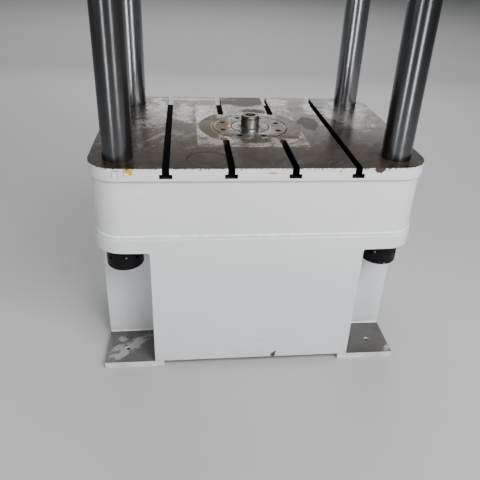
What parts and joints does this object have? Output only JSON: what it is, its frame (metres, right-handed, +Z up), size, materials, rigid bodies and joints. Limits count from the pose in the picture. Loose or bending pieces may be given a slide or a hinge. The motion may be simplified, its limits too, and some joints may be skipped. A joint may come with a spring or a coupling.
{
  "type": "four-column hydraulic press",
  "caption": "Four-column hydraulic press: painted bed with T-slotted table and ejector, round columns, guided slide and crown with main cylinder.",
  "frame": {"origin": "on the floor at the middle of the bed, on the ejector's axis", "axes": "+Z up along the columns, +X to the right as seen from the front, +Y to the back"},
  "size_m": [1.4812, 1, 4.2306],
  "materials": {
    "paint": "semi-gloss off-white paint with fine orange peel, chipped at the table's edge",
    "table_steel": "milled bare steel, oily and brown-grey, with rubbed bright patches",
    "foot_steel": "bare plate, dull grey-brown, with smears of paint",
    "ground_steel": "ground and hard-chromed, mirror-like",
    "black_steel": "blackened and oily",
    "turned_steel": "turned bare steel",
    "bronze": "turned bronze, lightly greased",
    "rubber": "matt black seal rubber",
    "plastic": "matt dark housing"
  },
  "bodies": {
    "frame": {"table_plate": "table_steel", "bed_wall": "paint", "lower_plate": "paint", "front_panel": "paint", "back_panel": "paint", "left_side_panel": "paint", "right_side_panel": "paint", "recess_wall_front_left": "paint", "recess_wall_front_right": "paint", "recess_wall_back_left": "paint", "recess_wall_back_right": "paint", "return_wall_front_left": "paint", "return_wall_front_right": "paint", "return_wall_back_left": "paint", "return_wall_back_right": "paint", "foot_plate_front_left": "foot_steel", "foot_plate_front_right": "foot_steel", "foot_plate_back_left": "foot_steel", "foot_plate_back_right": "foot_steel", "column_front_left": "ground_steel", "column_front_right": "ground_steel", "column_back_left": "ground_steel", "column_back_right": "ground_steel", "lower_nut_front_left": "black_steel", "lower_nut_front_right": "black_steel", "lower_nut_back_left": "black_steel", "lower_nut_back_right": "black_steel", "upper_nut_front_left": "black_steel", "upper_nut_front_right": "black_steel", "upper_nut_back_left": "black_steel", "upper_nut_back_right": "black_steel", "ring_plate": "table_steel", "guide_ring": "table_steel", "rod_scraper": "rubber", "ejector_barrel": "paint", "ejector_end_cap": "paint", "crown_bottom_plate": "paint", "crown_wall": "paint", "crown_top_plate": "paint", "main_barrel": "paint", "main_gland": "turned_steel", "barrel_lock_nut": "black_steel", "filling_tank": "paint", "filling_valve": "turned_steel", "tank_lid": "paint", "switch_rail": "turned_steel", "upper_switch": "plastic", "lower_switch": "plastic", "junction_box": "paint", "junction_box_lid": "paint"},
    "slide": {"slide_face_plate": "paint", "slide_wall": "paint", "slide_top_plate": "paint", "guide_bush_front_left": "bronze", "guide_bush_front_right": "bronze", "guide_bush_back_left": "bronze", "guide_bush_back_right": "bronze", "ram": "ground_steel", "switch_vane": "turned_steel"},
    "ejector": {"ejector_rod": "ground_steel"}
  },
  "joints": [
    {"name": "slide_stroke", "type": "slide", "parent": "frame", "child": "slide", "axis": [0, 0, -1], "range_m": [0, 0.7]},
    {"name": "ejector_stroke", "type": "slide", "parent": "frame", "child": "ejector", "axis": [0, 0, 1], "range_m": [-0.056, 0.194]}
  ]
}
